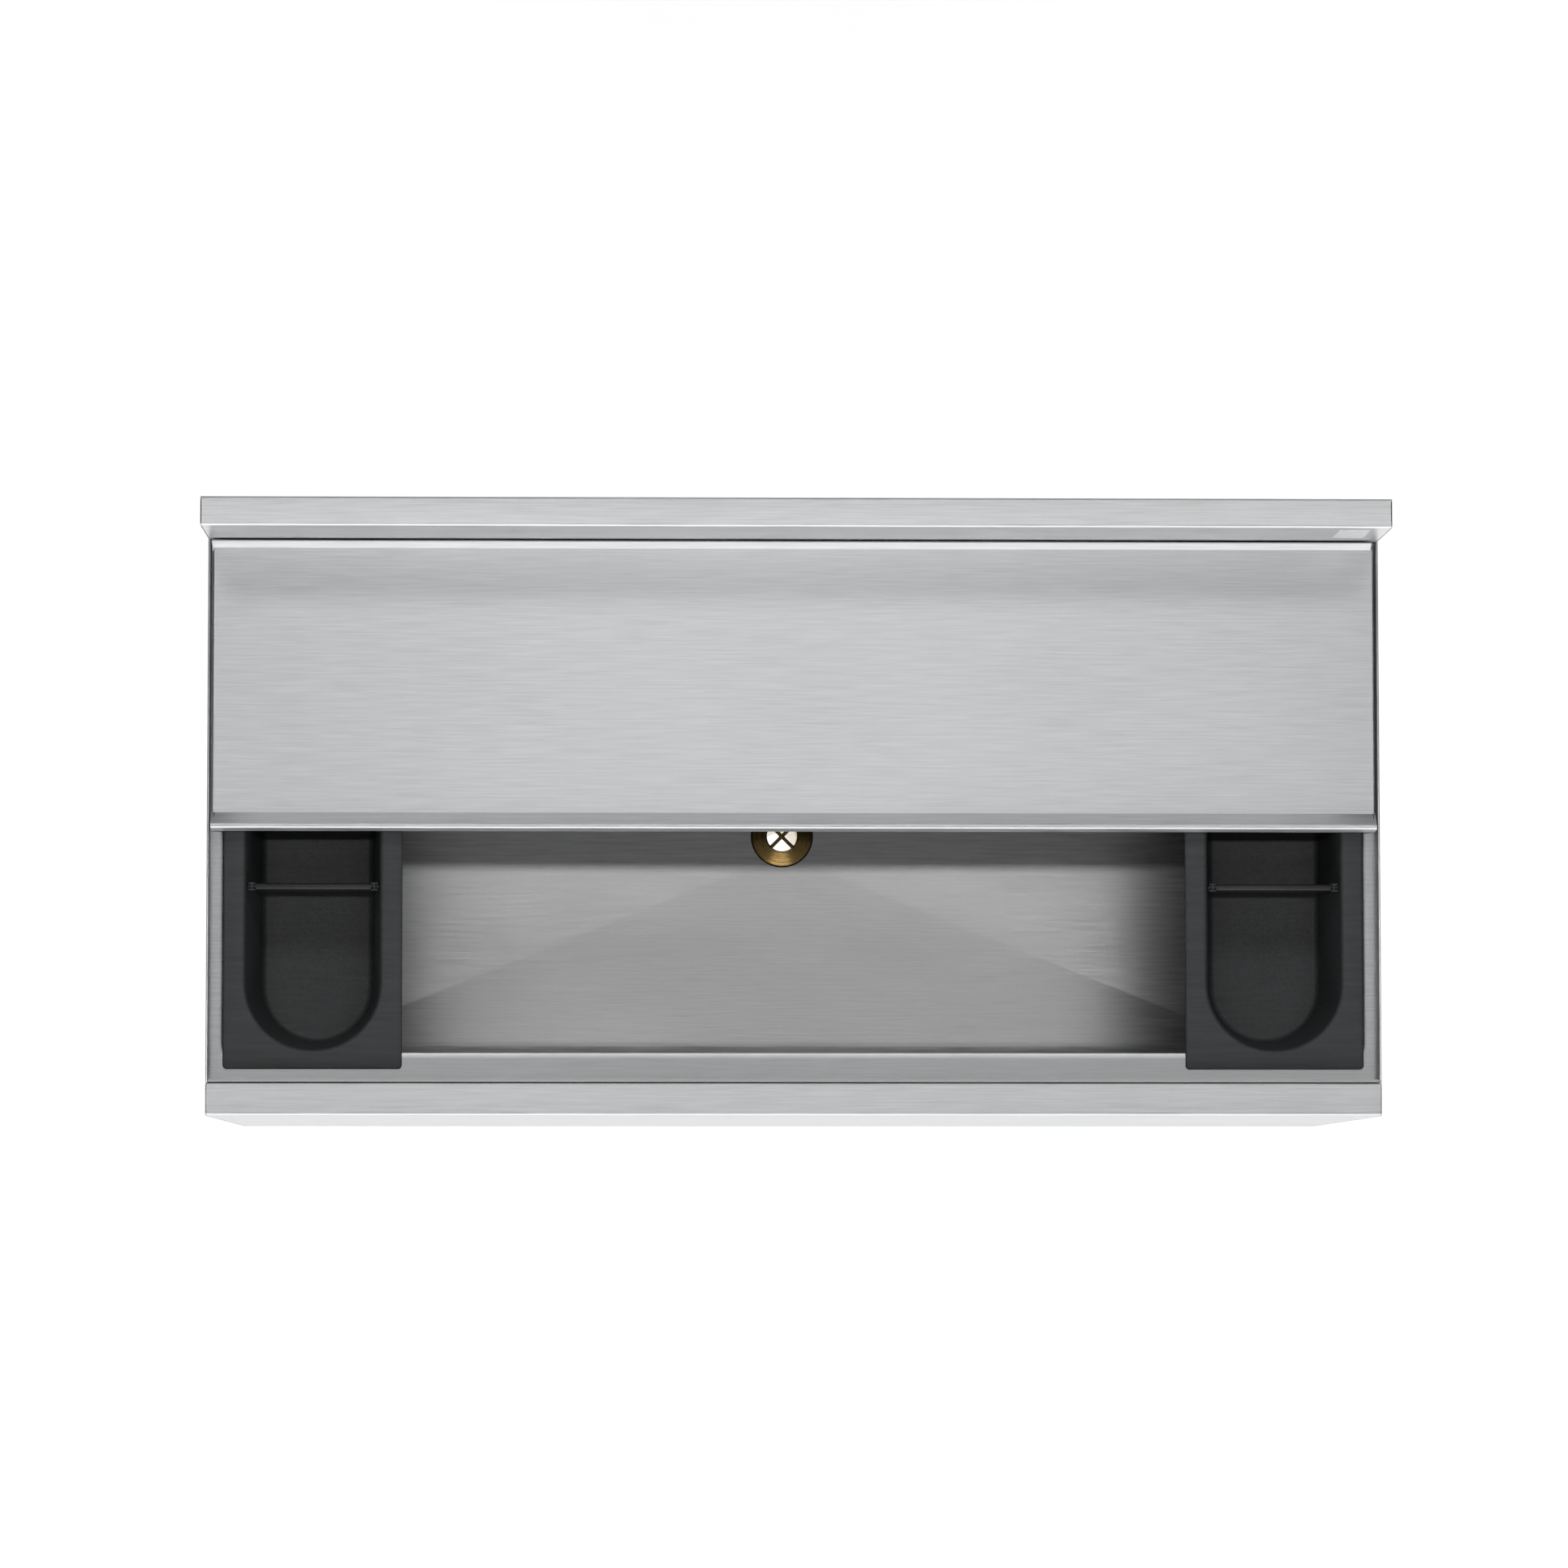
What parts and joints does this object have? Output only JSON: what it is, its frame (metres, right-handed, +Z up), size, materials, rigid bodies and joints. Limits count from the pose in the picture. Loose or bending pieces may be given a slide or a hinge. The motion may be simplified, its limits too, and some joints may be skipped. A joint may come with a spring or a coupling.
{
  "type": "underbar ice bin",
  "caption": "Stainless underbar ice bin with backsplash, sliding covers, hanging bottle wells with dividers, a pitched liner with a drain, and legs with adjustable feet.",
  "frame": {"origin": "on the floor, under the middle of the body's box", "axes": "+X to the right as its user faces it, +Y to the backsplash, +Z up"},
  "size_m": [0.9144, 0.4726, 0.8382],
  "materials": {
    "outer_steel": "no. 4 brushed",
    "base_steel": "mill",
    "liner_steel": "no. 4 brushed",
    "cover_steel": "no. 4 brushed",
    "leg_steel": "satin",
    "fastener_steel": "satin",
    "well_plastic": "moulded",
    "divider_plastic": "moulded",
    "drain_brass": "turned",
    "gasket_rubber": "moulded",
    "glide_nylon": "extruded",
    "foot_plastic": "moulded",
    "foam": "rigid foam board",
    "label_film": "blank film"
  },
  "bodies": {
    "cabinet": {"front_apron": "outer_steel", "left_side_panel": "outer_steel", "right_side_panel": "outer_steel", "back_panel": "outer_steel", "backsplash": "outer_steel", "top_deck": "outer_steel", "bottom_pan": "base_steel", "left_leg_channel": "base_steel", "right_leg_channel": "base_steel", "socket_front_left": "base_steel", "socket_front_right": "base_steel", "socket_rear_left": "base_steel", "socket_rear_right": "base_steel", "ice_liner": "liner_steel", "leg_front_left": "leg_steel", "leg_front_right": "leg_steel", "leg_rear_left": "leg_steel", "leg_rear_right": "leg_steel", "socket_set_screws": "fastener_steel", "drain_washer": "fastener_steel", "left_bottle_well": "well_plastic", "right_bottle_well": "well_plastic", "left_front_divider": "divider_plastic", "left_rear_divider": "divider_plastic", "right_front_divider": "divider_plastic", "right_rear_divider": "divider_plastic", "drain_flange": "drain_brass", "drain_strainer": "drain_brass", "drain_locknut": "drain_brass", "drain_coupling": "drain_brass", "drain_tailpiece": "drain_brass", "drain_gasket": "gasket_rubber", "insert_front_left": "foot_plastic", "insert_front_right": "foot_plastic", "insert_rear_left": "foot_plastic", "insert_rear_right": "foot_plastic", "foam_front": "foam", "foam_rear": "foam", "foam_left": "foam", "foam_right": "foam", "foam_bottom": "foam", "blank_label": "label_film"},
    "upper_cover_body": {"upper_cover": "cover_steel", "upper_cover_glides": "glide_nylon"},
    "lower_cover_body": {"lower_cover": "cover_steel", "lower_cover_glides": "glide_nylon"},
    "foot_front_left_body": {"foot_front_left": "foot_plastic"},
    "foot_front_right_body": {"foot_front_right": "foot_plastic"},
    "foot_rear_left_body": {"foot_rear_left": "foot_plastic"},
    "foot_rear_right_body": {"foot_rear_right": "foot_plastic"}
  },
  "joints": [
    {"name": "upper_cover_slide", "type": "slide", "parent": "cabinet", "child": "upper_cover_body", "axis": [0, -1, 0], "range_m": [0, 0.1935]},
    {"name": "lower_cover_slide", "type": "slide", "parent": "cabinet", "child": "lower_cover_body", "axis": [0, -1, 0], "range_m": [0, 0.198]},
    {"name": "foot_front_left_screw", "type": "slide", "parent": "cabinet", "child": "foot_front_left_body", "axis": [0, 0, -1], "range_m": [0, 0.025]},
    {"name": "foot_front_right_screw", "type": "slide", "parent": "cabinet", "child": "foot_front_right_body", "axis": [0, 0, -1], "range_m": [0, 0.025]},
    {"name": "foot_rear_left_screw", "type": "slide", "parent": "cabinet", "child": "foot_rear_left_body", "axis": [0, 0, -1], "range_m": [0, 0.025]},
    {"name": "foot_rear_right_screw", "type": "slide", "parent": "cabinet", "child": "foot_rear_right_body", "axis": [0, 0, -1], "range_m": [0, 0.025]}
  ]
}
